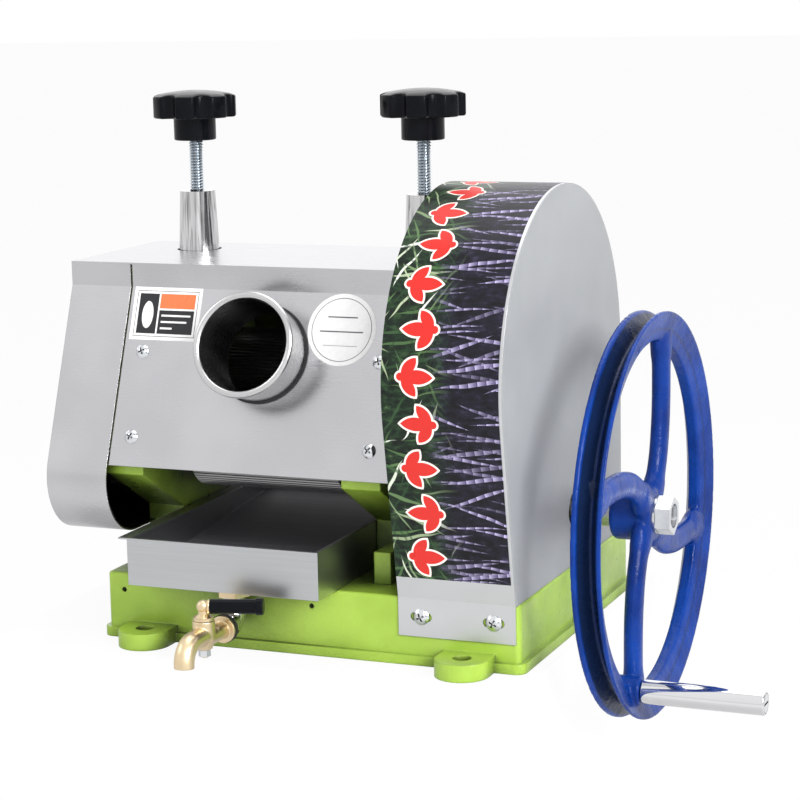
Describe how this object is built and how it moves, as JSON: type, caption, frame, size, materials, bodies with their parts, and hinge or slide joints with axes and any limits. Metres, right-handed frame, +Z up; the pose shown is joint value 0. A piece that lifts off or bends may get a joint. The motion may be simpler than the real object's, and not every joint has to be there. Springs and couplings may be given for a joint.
{
  "type": "manual sugarcane juicer",
  "caption": "Bench-mounted three-roller cane juicer with a grooved handwheel, arched gear guard, sloped feed tube, two star-knob pressure screws and a sliding juice tray with a tap.",
  "frame": {"origin": "centre of the four bench bolt holes, on the underside of the base skirt", "axes": "+X towards the handwheel, +Y towards the back where crushed cane leaves, +Z up"},
  "size_m": [0.5936, 0.4385, 0.5135],
  "materials": {
    "lime_enamel": "gloss lime green enamel over the castings",
    "stainless_sheet": "satin stainless sheet with a fine brushed grain",
    "tray_steel": "bright rolled stainless sheet",
    "polished_steel": "polished stainless tube",
    "chrome": "bright chrome plate",
    "roller_steel": "machined stainless rollers",
    "turned_steel": "turned steel",
    "zinc_steel": "bright zinc plated fasteners",
    "gear_iron": "machined iron, oiled",
    "brass": "cast brass, tumbled bright",
    "bronze": "turned bronze bushes",
    "blue_enamel": "gloss blue enamel on the cast wheel",
    "black_plastic": "moulded black plastic",
    "rubber": "black rubber washer",
    "black_seal": "black sealing ring",
    "printed_film": "glossy dark film with a plain pattern of canes and leaves",
    "notice_label": "white plastic label with plain orange and black panels",
    "white_label": "round white label with a thin ring"
  },
  "bodies": {
    "machine": {"base_casting": "lime_enamel", "left_side_frame": "lime_enamel", "right_side_frame": "lime_enamel", "casting_bolts": "zinc_steel", "tie_bolts": "zinc_steel", "top_cover": "stainless_sheet", "left_gear_cover": "stainless_sheet", "cover_screws": "zinc_steel", "feed_tube": "polished_steel", "feed_tube_ring": "black_seal", "notice_label": "notice_label", "round_label": "white_label", "turner_plate": "roller_steel", "outlet_chute": "tray_steel", "guard_band": "stainless_sheet", "guard_side_plate": "stainless_sheet", "guard_film": "printed_film", "guard_screws": "zinc_steel", "left_screw_sleeve": "polished_steel", "right_screw_sleeve": "polished_steel", "bearing_bracket": "lime_enamel", "drive_shaft_bushes": "bronze", "lower_roller_bushes": "bronze"},
    "top_carriage": {"left_bearing_block": "gear_iron", "right_bearing_block": "gear_iron", "top_roller_bushes": "bronze"},
    "left_screw": {"left_knob": "black_plastic", "left_pressure_screw": "zinc_steel"},
    "right_screw": {"right_knob": "black_plastic", "right_pressure_screw": "zinc_steel"},
    "top_rolls": {"top_roller": "roller_steel", "top_roller_shaft": "turned_steel", "bull_gear": "gear_iron", "top_roller_gear": "gear_iron", "top_shaft_nuts": "zinc_steel"},
    "front_rolls": {"front_roller": "roller_steel", "front_roller_shaft": "turned_steel", "front_roller_gear": "gear_iron", "front_shaft_nut": "zinc_steel"},
    "rear_rolls": {"rear_roller": "roller_steel", "rear_roller_shaft": "turned_steel", "rear_roller_gear": "gear_iron", "rear_shaft_nut": "zinc_steel"},
    "crank": {"drive_shaft": "turned_steel", "drive_keys": "turned_steel", "drive_pinion": "gear_iron", "handwheel": "blue_enamel", "wheel_washer": "zinc_steel", "wheel_nut": "zinc_steel", "handle_pin": "zinc_steel"},
    "handle": {"handle_sleeve": "chrome"},
    "tray": {"juice_tray": "tray_steel", "drain_elbow": "polished_steel", "drain_nut": "brass", "tap_washer": "rubber", "tap_body": "brass"},
    "tap": {"tap_plug": "brass", "tap_plug_nut": "zinc_steel", "tap_lever": "brass", "tap_lever_grip": "black_plastic"}
  },
  "joints": [
    {"name": "crank_turn", "type": "hinge", "parent": "machine", "child": "crank", "pos_m": [0, 0, 0.10103], "axis": [1, 0, 0], "continuous": true},
    {"name": "carriage_lift", "type": "slide", "parent": "machine", "child": "top_carriage", "axis": [0, 0, 1], "range_m": [0, 0.0015]},
    {"name": "top_roller_spin", "type": "hinge", "parent": "top_carriage", "child": "top_rolls", "pos_m": [0, 0.0185, 0.1993], "axis": [1, 0, 0], "continuous": true},
    {"name": "front_roller_spin", "type": "hinge", "parent": "machine", "child": "front_rolls", "pos_m": [0, -0.053, 0.15521], "axis": [1, 0, 0], "continuous": true},
    {"name": "rear_roller_spin", "type": "hinge", "parent": "machine", "child": "rear_rolls", "pos_m": [0, 0.078, 0.14001], "axis": [1, 0, 0], "continuous": true},
    {"name": "handle_spin", "type": "hinge", "parent": "crank", "child": "handle", "pos_m": [0.3, -0.06264, -0.0303], "axis": [1, 0, 0], "continuous": true},
    {"name": "left_screw_turn", "type": "hinge", "parent": "top_carriage", "child": "left_screw", "pos_m": [-0.16895, 0.0185, 0.3], "axis": [0, 0, 1], "range_deg": [0, 255.08]},
    {"name": "right_screw_turn", "type": "hinge", "parent": "top_carriage", "child": "right_screw", "pos_m": [0.04455, 0.0185, 0.3], "axis": [0, 0, 1], "range_deg": [0, 255.08]},
    {"name": "tray_slide", "type": "slide", "parent": "machine", "child": "tray", "axis": [0, -1, 0], "range_m": [0, 0.25]},
    {"name": "tap_turn", "type": "hinge", "parent": "tray", "child": "tap", "pos_m": [-0.0579, -0.213, 0.05], "axis": [0, 0, 1], "range_deg": [-107, 0]}
  ],
  "couplings": [
    {"joint": "top_roller_spin", "follows": "crank_turn", "ratio": -0.28205},
    {"joint": "front_roller_spin", "follows": "crank_turn", "ratio": 0.28205},
    {"joint": "rear_roller_spin", "follows": "crank_turn", "ratio": 0.28205},
    {"joint": "left_screw_turn", "follows": "carriage_lift", "rad_per_m": 2968},
    {"joint": "right_screw_turn", "follows": "carriage_lift", "rad_per_m": 2968}
  ]
}
